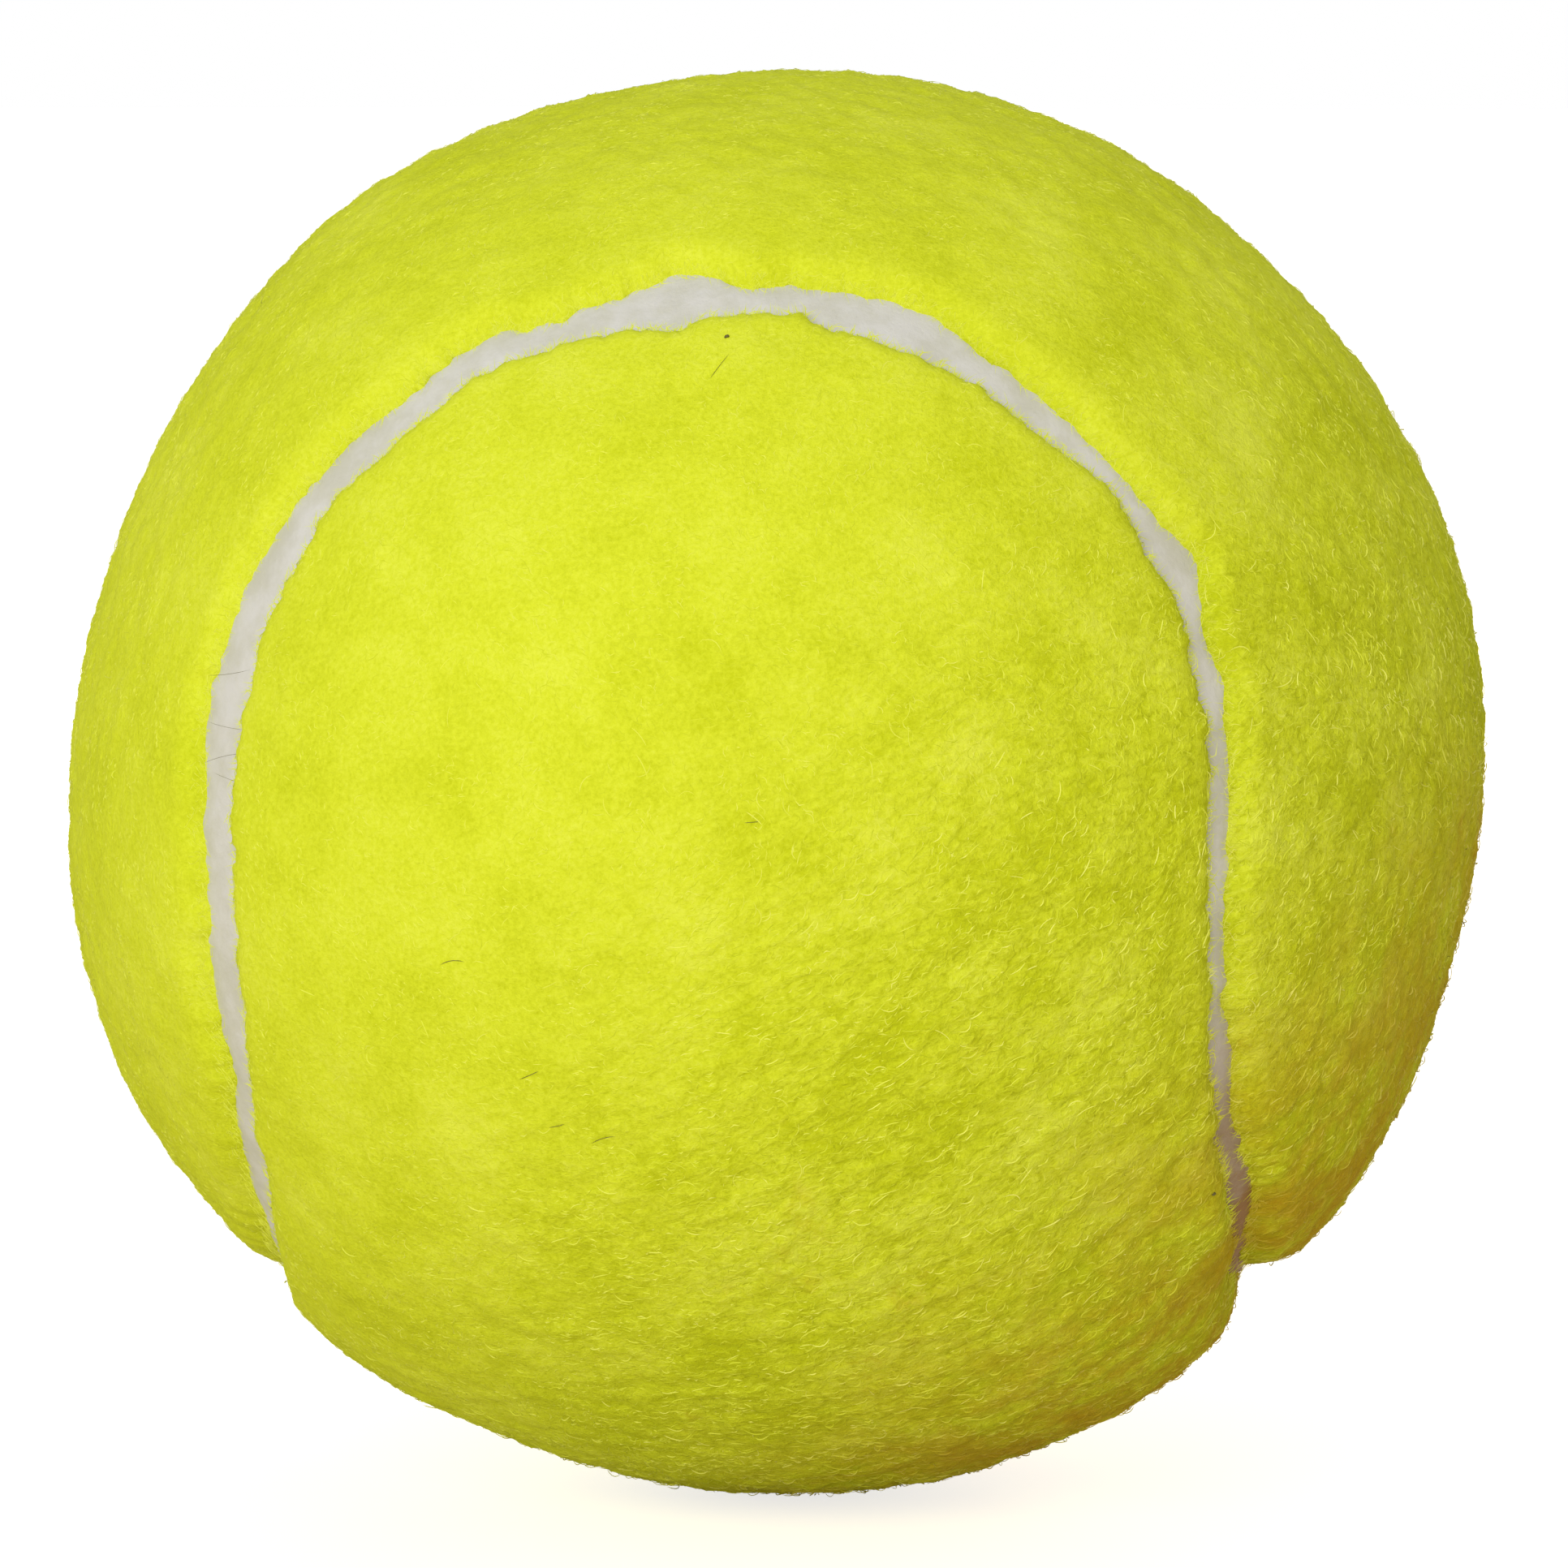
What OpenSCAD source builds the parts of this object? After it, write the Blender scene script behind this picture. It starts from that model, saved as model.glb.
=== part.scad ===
// Tennis ball: a hollow rubber core of two half shells, cemented at their rims, under a cover of two
// interlocking felt panels with a rubber seam in the groove between them.
// The origin is the ball's centre. The top panel has its lobes at +X and -X and its waist over +Z.
// The bottom panel is the same shape, turned a quarter turn about Z and upside down.

/* [Core] */
// Outer diameter of the rubber core
core_d = 60.2; // [45:0.1:90]
// Wall thickness of the two half shells
core_wall = 3.3; // [2:0.1:8]
// Thickness of the cement between the rims of the half shells
joint_t = 0.3; // [0.1:0.05:1]
// Radius of the bead of cement squeezed out inside the joint
joint_bead_r = 0.8; // [0.3:0.05:1.8]
// Thickness of the cement coat between the core and the cover
cement_t = 0.3; // [0.2:0.05:0.8]

/* [Cover] */
// Thickness of the woven backing cloth
backing_t = 0.9; // [0.5:0.05:2]
// Height of the nap above its backing
nap_t = 2.2; // [1.6:0.1:4]
// Radius that rounds the nap down into the groove
nap_edge_r = 2.4; // [1.4:0.1:4]
// Depth below the ball's surface at which the rounded nap meets the groove's wall
nap_edge_drop = 1.1; // [0.5:0.1:1.4]

/* [Seam] */
// Width of the seam, and of the groove that it fills
seam_w = 2; // [1:0.1:4]
// Depth of the seam's crest below the ball's surface
seam_recess = 1.3; // [0.6:0.1:1.5]
// Radius of the seam's crowned top across its width
seam_crown_r = 4; // [3:0.5:12]
// Angle from the ball's XY plane to the axes of the lobes, away from their own panel's waist
lobe_lean = 2.5; // [0:0.25:8]

/* [Hidden] */
$fn = 144;

core_r = core_d / 2;
core_inner_r = core_r - core_wall;
cement_r = core_r + cement_t;
backing_r = cement_r + backing_t;
ball_r = backing_r + nap_t;
seam_r = ball_r - seam_recess;
// How far a cutting shape runs past the solid that it cuts
overrun = 1;

// The groove follows an arc of a circle round each of the four lobes. The circles are equal, and
// neighbours touch at the four points of the ball's XY plane that lie midway between the lobes.
circle_angle = acos(-pow(sin(lobe_lean), 2)) / 2;
circle_half_span = 90 + atan(sin(lobe_lean));
// The arcs round the top panel's lobes run on past the touching points, into the arcs round the
// bottom panel's lobes. They are a hair slimmer on every side, so that no two walls coincide there.
arc_lap = 0.3;
arc_lap_angle = asin(arc_lap / (ball_r * sin(circle_angle)));
arc_slimming = 0.02;

// The circle that rounds the nap's edge stands this far above the ball's surface, so that the two
// cross and don't only touch
nap_edge_crossing = 0.03;
nap_edge_centre_r = ball_r - nap_edge_r + nap_edge_crossing;
nap_edge_foot_r = ball_r - nap_edge_drop;
// Angle at the ball's centre between the groove's middle and the centre of the rounding
nap_edge_angle = asin(seam_w / 2 / nap_edge_foot_r)
    + acos((pow(nap_edge_centre_r, 2) + pow(nap_edge_foot_r, 2) - pow(nap_edge_r, 2))
        / (2 * nap_edge_centre_r * nap_edge_foot_r));

// The shapes that part one panel from the other end halfway from the groove's middle to its wall
parting_angle = circle_angle - asin(seam_w / 4 / ball_r);
parting_inner = core_inner_r / 2;
parting_outer = ball_r + overrun;

function slimmed(i) = i % 2 == 0;
function slimming(i) = slimmed(i) ? arc_slimming : 0;

felt_yellow = [0.84, 0.89, 0.16];
seam_grey = [0.78, 0.76, 0.76];
cloth_cream = [0.88, 0.85, 0.74];
rubber_tan = [0.36, 0.31, 0.27];
cement_amber = [0.72, 0.58, 0.38];

// Puts a shape made round the Z axis at one of the four lobes: 0 and 2 are the top panel's
module at_lobe(i) {
    rotate([0, 0, 90 * i])
        mirror([0, 0, i % 2])
            rotate([0, 90 + lobe_lean, 0])
                children();
}

// Turns a section, drawn upright about the groove's middle, along the arc round lobe i
module along_arc(i) {
    half_span = circle_half_span + (slimmed(i) ? arc_lap_angle : 0);
    at_lobe(i)
        rotate([0, 0, -half_span])
            rotate_extrude(angle = 2 * half_span)
                rotate(-circle_angle)
                    children();
}

// The half of a flat ring on the right of the Y axis, whose turn about that axis is a hollow ball
module half_ring(inner_r, outer_r) {
    difference() {
        intersection() {
            circle(r = outer_r);
            translate([0, -outer_r]) square([outer_r, 2 * outer_r]);
        }
        circle(r = inner_r);
    }
}

// One half shell of the core, below the joint
module core_half() {
    rotate_extrude()
        difference() {
            half_ring(core_inner_r, core_r);
            translate([0, -joint_t / 2]) square([core_r + overrun, core_r + overrun]);
        }
}

// Section of the groove: a slot as wide as the seam, opened out by the nap's rounded edges
module groove_section(slimmer) {
    slot_x = seam_w / 2 - slimmer;
    slot_y = core_r - overrun + slimmer;
    edge_x = nap_edge_centre_r * sin(nap_edge_angle) - slimmer;
    edge_y = nap_edge_centre_r * cos(nap_edge_angle);
    top_y = ball_r + overrun - slimmer;
    translate([-slot_x, slot_y]) square([2 * slot_x, top_y - slot_y]);
    difference() {
        translate([-edge_x, edge_y]) square([2 * edge_x, top_y - edge_y]);
        for (side = [-1, 1])
            translate([side * edge_x, edge_y]) circle(r = nap_edge_r);
    }
}

module groove() {
    for (i = [0:3]) along_arc(i) groove_section(slimming(i));
}

// Section of the seam: as wide as the slot, with a crowned top, and sunk into the cement below it
module seam_section(slimmer) {
    slot_x = seam_w / 2 - slimmer;
    foot_y = core_r + slimmer;
    intersection() {
        translate([-slot_x, foot_y]) square([2 * slot_x, ball_r - foot_y]);
        translate([0, seam_r - slimmer - seam_crown_r]) circle(r = seam_crown_r);
    }
}

// Solid round the axis of lobe i that ends inside the groove
module parting_cone(i) {
    at_lobe(i)
        translate([0, 0, parting_inner])
            cylinder(
                h = parting_outer - parting_inner,
                r1 = parting_inner * tan(parting_angle),
                r2 = parting_outer * tan(parting_angle)
            );
}

// All of the cover on the bottom panel's side of the groove
module bottom_side() {
    parting_cone(1);
    parting_cone(3);
    difference() {
        translate([-parting_outer, -parting_outer, -parting_outer])
            cube([2 * parting_outer, 2 * parting_outer, parting_outer]);
        parting_cone(0);
        parting_cone(2);
    }
}

// The top panel's share of a layer of the cover, from inner_r to outer_r
module panel(inner_r, outer_r) {
    difference() {
        difference() {
            rotate_extrude() half_ring(inner_r, outer_r);
            groove();
        }
        bottom_side();
    }
}

// Turns a piece of the top panel into the same piece of the bottom panel
module as_bottom_panel() {
    rotate([0, 0, 90]) mirror([0, 0, 1]) children();
}

module core_half_lower() {
    color(rubber_tan) core_half();
}

module core_half_upper() {
    color(rubber_tan) mirror([0, 0, 1]) core_half();
}

module core_joint() {
    color(cement_amber)
        rotate_extrude() {
            intersection() {
                half_ring(core_inner_r, core_r);
                translate([0, -joint_t / 2]) square([core_r, joint_t]);
            }
            intersection() {
                circle(r = core_inner_r);
                translate([core_inner_r, 0]) circle(r = joint_bead_r);
            }
        }
}

module cover_cement() {
    color(cement_amber) rotate_extrude() half_ring(core_r, cement_r);
}

module top_panel_backing() {
    color(cloth_cream) panel(cement_r, backing_r);
}

module bottom_panel_backing() {
    color(cloth_cream) as_bottom_panel() panel(cement_r, backing_r);
}

module top_panel_nap() {
    color(felt_yellow) panel(backing_r, ball_r);
}

module bottom_panel_nap() {
    color(felt_yellow) as_bottom_panel() panel(backing_r, ball_r);
}

module seam() {
    color(seam_grey)
        difference() {
            for (i = [0:3]) along_arc(i) seam_section(slimming(i));
            sphere(r = cement_r);
        }
}

core_half_lower();
core_half_upper();
core_joint();
cover_cement();
top_panel_backing();
bottom_panel_backing();
top_panel_nap();
bottom_panel_nap();
seam();
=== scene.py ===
"""Tennis ball: the looks of a hollow rubber ball under two interlocking felt panels.

Every length is in metres, and the origin is the ball's centre. +Z points at the middle of the top
panel's waist, and +X and -X at its two lobes. The bottom panel is turned a quarter turn and upside
down, so its lobes are at +Y and -Y. The photograph was taken from the -Y side.
"""

import math

import bmesh
import bpy
import numpy as np
from mathutils import Matrix, Vector, noise


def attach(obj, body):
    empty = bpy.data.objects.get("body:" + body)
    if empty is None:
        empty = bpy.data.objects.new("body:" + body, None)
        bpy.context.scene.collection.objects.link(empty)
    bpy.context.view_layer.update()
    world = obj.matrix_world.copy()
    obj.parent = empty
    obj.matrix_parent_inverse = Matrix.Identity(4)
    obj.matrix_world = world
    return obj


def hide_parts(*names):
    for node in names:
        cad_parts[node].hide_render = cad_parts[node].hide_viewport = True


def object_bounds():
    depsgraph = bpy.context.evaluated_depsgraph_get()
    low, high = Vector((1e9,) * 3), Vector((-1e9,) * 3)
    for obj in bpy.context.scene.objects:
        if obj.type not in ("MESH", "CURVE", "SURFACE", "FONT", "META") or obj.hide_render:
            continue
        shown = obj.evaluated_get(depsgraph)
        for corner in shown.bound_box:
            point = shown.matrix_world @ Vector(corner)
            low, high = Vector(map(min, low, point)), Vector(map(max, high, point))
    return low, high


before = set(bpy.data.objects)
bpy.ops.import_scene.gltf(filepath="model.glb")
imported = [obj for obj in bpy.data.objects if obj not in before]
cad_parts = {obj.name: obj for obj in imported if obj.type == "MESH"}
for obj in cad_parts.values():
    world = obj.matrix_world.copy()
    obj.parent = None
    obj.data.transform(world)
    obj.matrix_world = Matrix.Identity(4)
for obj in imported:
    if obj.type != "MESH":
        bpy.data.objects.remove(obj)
cad_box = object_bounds()
ball_radius = (cad_box[1].z - cad_box[0].z) / 2
MM = 0.001


# Core half shells

# The core is two equal half shells, moulded from a filled rubber and buffed on the outside so
# that cement takes to them. The rubber is a matt dark tan with a fine pitted grain.

RUBBER_TAN = (0.17, 0.135, 0.11, 1)
RUBBER_DUST = (0.27, 0.225, 0.185, 1)
RUBBER_GRAIN = 0.05 * MM


def add_node(tree, kind, inputs=(), **settings):
    """Adds a node with these settings and values, and links any input given as a socket."""
    made = tree.nodes.new(kind)
    for name, value in settings.items():
        setattr(made, name, value)
    for name, value in dict(inputs).items():
        if isinstance(value, bpy.types.NodeSocket):
            tree.links.new(value, made.inputs[name])
        else:
            made.inputs[name].default_value = value
    return made


def add_ramp(tree, fac, *stops):
    """Adds a colour ramp with these (place, colour) stops, read at fac."""
    made = add_node(tree, "ShaderNodeValToRGB", {"Fac": fac})
    elements = made.color_ramp.elements
    for _ in stops[2:]:
        elements.new(0.5)
    for element, (place, colour) in zip(elements, stops):
        element.position = place
        element.color = colour
    return made.outputs["Color"]


def add_math(tree, operation, *values, **settings):
    """Joins values by arithmetic, such as MULTIPLY or MAXIMUM."""
    return add_node(
        tree, "ShaderNodeMath", enumerate(values), operation=operation, **settings
    ).outputs[0]


def add_noise(tree, where, scale, detail, roughness=0.5, distortion=0.0):
    """Adds a noise pattern with this many lumps to the metre."""
    sizes = {"Scale": scale, "Detail": detail, "Roughness": roughness, "Distortion": distortion}
    return add_node(tree, "ShaderNodeTexNoise", {"Vector": where, **sizes}).outputs["Fac"]


def add_share(tree, value, low, high, top=1.0, fade="SMOOTHSTEP"):
    """Turns a value into a share, from 0 where it is at low to top where it is at high."""
    return add_node(
        tree,
        "ShaderNodeMapRange",
        {"Value": value, "From Min": low, "From Max": high, "To Max": top},
        interpolation_type=fade,
    ).outputs["Result"]


def add_blend(tree, share, first, second):
    """Blends from the first colour to the second by a share."""
    return add_node(
        tree,
        "ShaderNodeMix",
        {"Factor": share, "A": first, "B": second},
        data_type="RGBA",
    ).outputs["Result"]


def add_bump(tree, height, depth):
    """Adds relief of this depth in metres."""
    return add_node(
        tree, "ShaderNodeBump", {"Height": height, "Strength": 1, "Distance": depth}
    ).outputs["Normal"]


def add_object_place(tree):
    return add_node(tree, "ShaderNodeTexCoord").outputs["Object"]


def blank_material(name, **sockets):
    """A material with one shader, whose plain values are given by the names of its sockets."""
    made = bpy.data.materials.new(name)
    made.use_nodes = True
    tree = made.node_tree
    tree.nodes.clear()
    shader = add_node(tree, "ShaderNodeBsdfPrincipled")
    output = add_node(tree, "ShaderNodeOutputMaterial")
    tree.links.new(shader.outputs["BSDF"], output.inputs["Surface"])
    for socket, value in sockets.items():
        shader.inputs[socket.replace("_", " ")].default_value = value
    return made, tree, shader


def new_group(name, inputs, outputs):
    """A shader node group. Inputs are {name: default} and outputs {name: socket kind}."""
    group = bpy.data.node_groups.new(name, "ShaderNodeTree")
    for title, default in inputs.items():
        kind = "NodeSocketColor" if isinstance(default, tuple) else "NodeSocketFloat"
        socket = group.interface.new_socket(title, in_out="INPUT", socket_type=kind)
        socket.default_value = default
    for title, kind in outputs.items():
        group.interface.new_socket(title, in_out="OUTPUT", socket_type=kind)
    return group, add_node(group, "NodeGroupInput"), add_node(group, "NodeGroupOutput")


def build_moulded_grain():
    """The grain that rubber and cured cement share: soft patches, pits and a fine tooth."""
    group, given, result = new_group(
        "moulded grain",
        {
            "Colour": (0.5, 0.5, 0.5, 1),
            "Patch Colour": (0.4, 0.4, 0.4, 1),
            "Patches per m": 150.0,
            "Pits per m": 1500.0,
            "Roughness": 0.7,
            "Height": 0.1,
        },
        {
            "Colour": "NodeSocketColor",
            "Roughness": "NodeSocketFloat",
            "Normal": "NodeSocketVector",
        },
    )
    where = add_object_place(group)
    patches = add_noise(group, where, given.outputs["Patches per m"], detail=5, roughness=0.6)
    pits = add_noise(group, where, given.outputs["Pits per m"], detail=4, roughness=0.65)
    colour = add_blend(
        group,
        add_share(group, patches, 0.38, 0.66),
        given.outputs["Colour"],
        given.outputs["Patch Colour"],
    )
    pitted = add_math(group, "MULTIPLY_ADD", pits, 0.16, given.outputs["Roughness"])
    bump = add_bump(group, pits, given.outputs["Height"])
    group.links.new(colour, result.inputs["Colour"])
    group.links.new(pitted, result.inputs["Roughness"])
    group.links.new(bump, result.inputs["Normal"])
    return group


moulded_grain = build_moulded_grain()


def moulded_material(name, colour, patch_colour, patches, pits, roughness, height, **sockets):
    """A material with the moulded grain: two colours, patches and pits per metre, the roughness
    and the depth of the grain."""
    made, tree, shader = blank_material(name, **sockets)
    grain = add_node(
        tree,
        "ShaderNodeGroup",
        {
            "Colour": colour,
            "Patch Colour": patch_colour,
            "Patches per m": patches,
            "Pits per m": pits,
            "Roughness": roughness,
            "Height": height,
        },
        node_tree=moulded_grain,
    )
    tree.links.new(grain.outputs["Colour"], shader.inputs["Base Color"])
    tree.links.new(grain.outputs["Roughness"], shader.inputs["Roughness"])
    tree.links.new(grain.outputs["Normal"], shader.inputs["Normal"])
    return made


def wear(node, material):
    """Gives a CAD node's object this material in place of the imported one."""
    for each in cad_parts[node].material_slots:
        each.material = material


core_rubber = moulded_material(
    "moulded core rubber",
    RUBBER_TAN,
    RUBBER_DUST,
    patches=160,
    pits=1400,
    roughness=0.72,
    height=RUBBER_GRAIN,
)
wear("core_half_lower", core_rubber)
wear("core_half_upper", core_rubber)


# Cement

# One ring of rubber cement joins the rims of the half shells, and a thin brushed coat of it holds
# the cover. Both are cured to a tough amber film with a slight gloss.

CEMENT_AMBER = (0.46, 0.31, 0.15, 1)
CEMENT_PALE = (0.58, 0.43, 0.24, 1)
CEMENT_GRAIN = 0.04 * MM

cured_cement = moulded_material(
    "cured rubber cement",
    CEMENT_AMBER,
    CEMENT_PALE,
    patches=240,
    pits=900,
    roughness=0.42,
    height=CEMENT_GRAIN,
    Coat_Weight=0.25,
    Coat_Roughness=0.3,
)
wear("core_joint", cured_cement)
wear("cover_cement", cured_cement)


# Backing cloth

# Each panel's fibres are needled through a plain cotton cloth, cut to the panel's figure of eight
# and stretched over the core. Its yarns cross over and under each other.

YARN_PITCH = 0.55 * MM
# A wave texture has 3.2 bands to the metre for each unit of its scale.
BANDS_PER_SCALE = 3.2
WEAVE_DEPTH = 0.12 * MM
COTTON_SHADE = (0.42, 0.38, 0.27, 1)
COTTON = (0.7, 0.66, 0.52, 1)
COTTON_LIGHT = (0.82, 0.79, 0.67, 1)


def build_backing_cloth():
    made, tree, shader = blank_material("woven cotton backing", Roughness=0.9, Sheen_Weight=0.2)
    where = add_object_place(tree)
    yarns = {}
    for axis in ("X", "Z", "Y"):
        yarns[axis] = add_node(
            tree,
            "ShaderNodeTexWave",
            {
                "Vector": where,
                "Scale": 1 / YARN_PITCH / BANDS_PER_SCALE,
                "Distortion": 0.6,
                "Detail": 2,
            },
            wave_type="BANDS",
            bands_direction=axis,
        ).outputs["Fac"]
    warp = add_math(tree, "MAXIMUM", yarns["X"], yarns["Z"])
    weave = add_math(tree, "MULTIPLY", warp, yarns["Y"])
    slubs = add_noise(tree, where, 700, detail=4, roughness=0.7)
    height = add_math(tree, "MULTIPLY_ADD", weave, 0.75, slubs)
    # The ramp paints shade where the yarns dip and painted light on their tops.
    colour = add_ramp(tree, height, (0.25, COTTON_SHADE), (0.75, COTTON), (1.0, COTTON_LIGHT))
    bump = add_bump(tree, height, WEAVE_DEPTH)
    tree.links.new(colour, shader.inputs["Base Color"])
    tree.links.new(bump, shader.inputs["Normal"])
    return made


backing_cloth = build_backing_cloth()
wear("top_panel_backing", backing_cloth)
wear("bottom_panel_backing", backing_cloth)


# Seam

# Light grey rubber fills the groove between the panels, whose edges were dipped in it before the
# ball was pressed and cured. It is laid by hand, so its line wanders and its width changes.

LOBE_LEAN = math.radians(2.5)
LOBE_CIRCLE = math.acos(-math.sin(LOBE_LEAN) ** 2) / 2
ARC_HALF_SPAN = math.pi / 2 + math.atan(math.sin(LOBE_LEAN))
SEAM_HALF_WIDTH = 1.0 * MM
SEAM_CREST = ball_radius - 1.3 * MM
SEAM_FOOT = ball_radius - 3.1 * MM
SEAM_CROWN = 0.13 * MM
NAP_FOOT = ball_radius - 2.2 * MM
SEAM_TUCK = 0.35 * MM
SEAM_GREY = (0.64, 0.63, 0.61, 1)
SEAM_GREY_PATCH = (0.56, 0.55, 0.48, 1)
# Low right tint of the seam: dust, painted shade and painted warm reflection.
SEAM_DUST_SHADE_AND_BOUNCE = (0.24, 0.115, 0.025, 1)
SEAM_SWELL = 0.10 * MM
SEAM_GRAIN = 0.05 * MM
# The way from the ball's centre to its low right: dust, painted shade and painted warm reflection.
DUST_SHADE_AND_BOUNCE_PLACE = np.array((0.70, 0.10, -0.70))

# The groove runs once round four lobes, 0 and 2 of the top panel and 1 and 3 of the bottom one.
# A place on it is a number from 0 to 4, one for each lobe in turn. Each row is a place, how far
# the line strays towards the top panel and how wide the seam lies there, both in mm.
WANDER = (
    (0.00, -0.7, 1.3),
    (0.04, -0.7, 0.6),
    (0.09, -0.5, 0.6),
    (0.13, -0.2, 1.3),
    (0.19, 0.1, 1.2),
    (0.24, 0.8, 1.2),
    (0.29, 1.2, 1.2),
    (0.34, 1.2, 0.9),
    (0.38, 1.1, 0.3),
    (0.52, 0.9, 0.4),
    (0.62, 0.3, 1.5),
    (0.85, -0.3, 2.2),
    (1.20, 0.3, 2.0),
    (1.60, -0.2, 1.7),
    (2.00, 0.3, 2.3),
    (2.35, -0.2, 1.9),
    (2.48, 0.8, 0.5),
    (2.65, 0.3, 0.8),
    (2.76, -0.1, 1.5),
    (2.84, -0.5, 1.8),
    (2.91, -0.3, 2.7),
    (3.02, -0.5, 2.3),
    (3.12, -0.2, 2.8),
    (3.24, -0.7, 2.3),
    (3.30, -1.0, 2.1),
    (3.35, -0.7, 2.0),
    (3.40, -1.2, 1.7),
    (3.44, -0.9, 1.8),
    (3.47, -0.5, 3.6),
    (3.52, -0.7, 2.0),
    (3.55, -0.4, 2.0),
    (3.57, -0.7, 2.7),
    (3.63, -0.4, 2.9),
    (3.66, -0.6, 1.9),
    (3.73, -0.6, 1.7),
    (3.79, -0.2, 1.0),
    (3.84, 0.0, 2.2),
    (3.88, -0.4, 1.2),
    (3.96, -0.8, 1.4),
)
# Where the cover lies fuller or lower, seen from the front: the angle from +X towards +Z and how
# far it spreads, both in degrees, and the height in mm.
UNEVEN = (
    (32, 22, 0.35),
    (60, 12, 0.30),
    (98, 12, -0.25),
    (124, 12, 0.25),
    (163, 20, -0.55),
    (200, 14, 0.30),
    (219, 5, -0.30),
    (234, 10, 0.45),
    (290, 15, 0.45),
    (304, 6, 0.25),
    (315, 4, -0.60),
    (347, 14, -0.50),
)
ARC_LENGTH = 2 * ARC_HALF_SPAN * ball_radius * math.sin(LOBE_CIRCLE)
# A panel's cut edge runs in small steps, each of which ends in a short slope, and has a fine tooth.
STEP_LENGTH = 3.1 * MM
STEP_SIZE = 0.20 * MM
STEP_SLOPE = 0.16
TOOTH_SIZE = 0.26 * MM


def lobe_axes(i):
    """Unit vectors of lobe i: its axis, the middle of its arc, and the way the arc runs."""
    turn = Matrix.Rotation(math.pi / 2 * i, 3, "Z")
    up = 1 if i % 2 else -1
    lean = Vector((math.cos(LOBE_LEAN), 0, up * math.sin(LOBE_LEAN)))
    middle = Vector((-math.sin(LOBE_LEAN), 0, up * math.cos(LOBE_LEAN)))
    return turn @ lean, turn @ middle, turn @ Vector((0, 1, 0))


def along_groove(points):
    """For points near the ball's surface: the place on the groove, the distance from its middle
    (towards the top panel is positive) and the direction of that distance."""
    away = points / np.linalg.norm(points, axis=1, keepdims=True)
    place = np.zeros(len(points))
    distance = np.full(len(points), np.inf)
    across = np.zeros_like(points)
    for i in range(4):
        axis, middle, ahead = (np.array(v) for v in lobe_axes(i))
        turn = np.arctan2(away @ ahead, away @ middle)
        side = -1 if i % 2 else 1
        offset = side * (LOBE_CIRCLE - np.arccos(np.clip(away @ axis, -1, 1))) * ball_radius
        nearer = (np.abs(turn) < ARC_HALF_SPAN + 0.01) & (np.abs(offset) < np.abs(distance))
        place[nearer] = (i + 0.5 + turn / (2 * ARC_HALF_SPAN))[nearer] % 4
        distance[nearer] = offset[nearer]
        inward = side * (axis - (away @ axis)[:, None] * away)
        inward /= np.maximum(np.linalg.norm(inward, axis=1, keepdims=True), 1e-9)
        across[nearer] = inward[nearer]
    return place, distance, across


def rough(points, per_metre, seed, octaves=1):
    """Smooth noise of about -1 to 1 at each point, with this many lumps to the metre."""
    shift = Vector((seed * 3.1, seed * 7.7, seed * 1.3))
    if octaves == 1:
        return np.array([noise.noise(Vector(p) * per_metre + shift) for p in points])
    return np.array(
        [noise.fractal(Vector(p) * per_metre + shift, 0.6, 2.1, octaves) for p in points]
    )


def wander(place):
    """How far the groove strays at each place, and half its width there."""
    rows = np.array(WANDER)
    wrapped = np.vstack([rows[-1:] - [4, 0, 0], rows, rows[:1] + [4, 0, 0]])
    stray = np.interp(place, wrapped[:, 0], wrapped[:, 1]) * MM
    half = np.interp(place, wrapped[:, 0], wrapped[:, 2]) * MM / 2
    return stray, half


def smooth_share(value, low, high):
    """From 0 where a value is at low to 1 where it is at high, with soft ends."""
    share = np.clip((value - low) / (high - low), 0, 1)
    return share * share * (3 - 2 * share)


def ragged_edge(place, side):
    """How far a panel's cut edge stands back from the seam: small steps, and a finer tooth."""
    turn = place * math.pi / 2
    loop = 4 * ARC_LENGTH / (2 * math.pi)
    along = np.stack([np.cos(turn) * loop, np.sin(turn) * loop, side * 0.01], 1)
    steps = round(4 * ARC_LENGTH / STEP_LENGTH)
    sizes = np.random.default_rng(5).uniform(-1, 1, (2, steps))
    row = (side > 0).astype(int)
    at = (place / 4 * steps + 0.5 * rough(along, 250, seed=6) + 0.5 * row) % steps
    step = at.astype(int) % steps
    share = smooth_share(at - step, 1 - STEP_SLOPE, 1)
    stepped = sizes[row, step] * (1 - share) + sizes[row, (step + 1) % steps] * share
    return STEP_SIZE * stepped + TOOTH_SIZE * rough(along, 800, seed=4, octaves=3)


def uneven_rise(points):
    """How much fuller or lower the cover lies at each point: most where it is seen edge on."""
    x, y, z = points.T / ball_radius
    angle = np.degrees(np.arctan2(z, x))
    rise = np.zeros(len(points))
    for middle, spread, height in UNEVEN:
        off = (angle - middle + 180) % 360 - 180
        rise += height * MM * np.exp(-((off / spread) ** 2))
    return rise * (x * x + z * z) ** 2


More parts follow.
